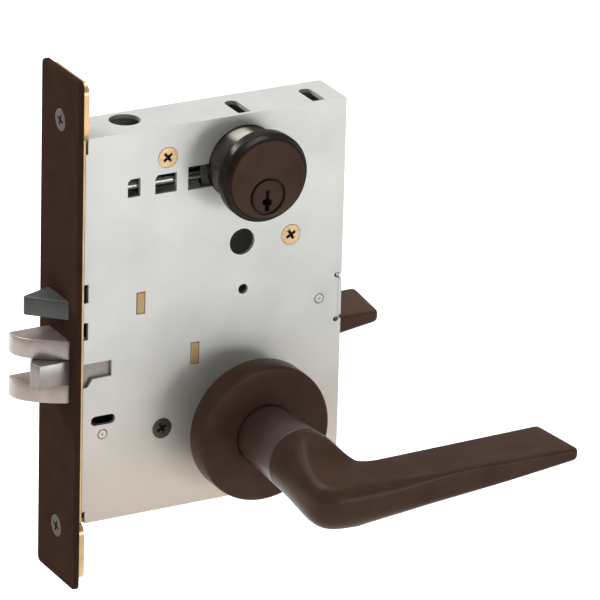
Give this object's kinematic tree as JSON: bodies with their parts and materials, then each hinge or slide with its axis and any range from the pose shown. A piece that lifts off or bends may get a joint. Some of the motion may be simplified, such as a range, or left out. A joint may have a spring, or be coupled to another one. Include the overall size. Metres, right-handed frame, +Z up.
{
  "type": "mortise lock",
  "caption": "Mortise lock with a flat case, armoured front, curved latch with an anti-friction tongue, auxiliary latch, key cylinder and lever handles on round roses",
  "frame": {"origin": "centre of the armoured front's outer face", "axes": "+X into the door from its edge, -Y to the outside of the door where the cylinder is, +Z up"},
  "size_m": [0.1829, 0.1758, 0.2032],
  "materials": {
    "brass": "machined brass",
    "bronze": "dark oil-rubbed bronze, satin, lightly mottled",
    "cast": "zinc-plated casting",
    "darksteel": "dark sintered steel",
    "gold": "yellow zinc-plated steel",
    "nickel": "satin nickel-plated",
    "spring": "music wire",
    "steel": "plain bright steel",
    "zinc": "satin zinc-plated steel"
  },
  "bodies": {
    "lock_case": {"armour_front": "bronze", "armour_front_screws": "bronze", "aux_latch_spring": "spring", "aux_spring_anchor": "steel", "case_cover": "zinc", "case_rivets": "zinc", "case_shell": "zinc", "catch_pivot_pin": "steel", "clamp_nut": "cast", "cover_lock_screw": "darksteel", "cover_posts": "zinc", "cover_screws": "gold", "cylinder_clamp_screw": "steel", "cylinder_collar": "bronze", "cylinder_ring": "steel", "cylinder_shell": "bronze", "deadlock_pivot_pin": "steel", "driver_pins": "brass", "front_flange": "gold", "guide_stakes": "brass", "hub_washer": "steel", "inside_return_spring": "spring", "inside_rose": "bronze", "inside_spring_cage": "cast", "latch_guide": "nickel", "latch_spring": "spring", "latch_spring_anchor": "steel", "outside_return_spring": "spring", "outside_rose": "bronze", "outside_spring_cage": "cast", "pin_chamber_plugs": "brass", "pin_springs": "spring", "trim_bolts": "steel", "trim_posts": "steel"},
    "outside_handle": {"outside_lever": "bronze", "outside_neck_sleeve": "bronze", "outside_spindle": "steel", "outside_hub": "cast", "outside_set_screw": "steel"},
    "inside_handle": {"inside_lever": "bronze", "inside_neck_sleeve": "bronze", "inside_spindle": "steel", "inside_hub": "cast", "inside_set_screw": "steel"},
    "latch": {"latch_head": "nickel", "latch_tail": "steel", "latch_tail_pin": "steel", "tongue_pin": "steel"},
    "tongue": {"antifriction_tongue": "nickel"},
    "auxiliary": {"auxiliary_latch": "darksteel", "auxiliary_latch_tail": "steel"},
    "deadlock": {"deadlock_lever": "darksteel"},
    "key_plug": {"cylinder_plug": "bronze", "key_pins": "brass", "cylinder_cam": "steel", "cam_screws": "steel"},
    "catch": {"locking_catch": "steel"}
  },
  "joints": [
    {"name": "outside_lever_turn", "type": "hinge", "parent": "lock_case", "child": "outside_handle", "pos_m": [0.06985, 0, -0.0423], "axis": [0, 1, 0], "range_deg": [0, 45], "stiffness_Nm_per_rad": 0.8, "springref_deg": -34.38},
    {"name": "inside_lever_turn", "type": "hinge", "parent": "lock_case", "child": "inside_handle", "pos_m": [0.06985, 0, -0.0423], "axis": [0, 1, 0], "range_deg": [0, 45]},
    {"name": "latch_slide", "type": "slide", "parent": "lock_case", "child": "latch", "axis": [1, 0, 0], "range_m": [0, 0.0165], "deforming": ["latch_spring"]},
    {"name": "tongue_pivot", "type": "hinge", "parent": "latch", "child": "tongue", "pos_m": [0.007, 0.003, -0.0148], "axis": [0, 0, 1], "range_deg": [-6, 0]},
    {"name": "aux_latch_slide", "type": "slide", "parent": "lock_case", "child": "auxiliary", "axis": [1, 0, 0], "range_m": [0, 0.0105], "stiffness_N_per_m": 300, "springref_m": -0.008, "deforming": ["aux_latch_spring"]},
    {"name": "deadlock_swing", "type": "hinge", "parent": "lock_case", "child": "deadlock", "pos_m": [0.062, 0, 0.003], "axis": [0, 1, 0], "range_deg": [-5.2, 0]},
    {"name": "key_turn", "type": "hinge", "parent": "lock_case", "child": "key_plug", "pos_m": [0.06985, 0, 0.0522], "axis": [0, -1, 0], "range_deg": [0, 90]},
    {"name": "catch_swing", "type": "hinge", "parent": "lock_case", "child": "catch", "pos_m": [0.095, 0, 0.036], "axis": [0, 1, 0], "range_deg": [0, 5.2]}
  ],
  "couplings": [
    {"joint": "inside_lever_turn", "follows": "outside_lever_turn", "ratio": 1},
    {"joint": "latch_slide", "follows": "outside_lever_turn", "m_per_rad": 0.021007},
    {"joint": "deadlock_swing", "follows": "aux_latch_slide", "rad_per_m": -8.3},
    {"joint": "catch_swing", "follows": "key_turn", "ratio": 0.0556}
  ]
}
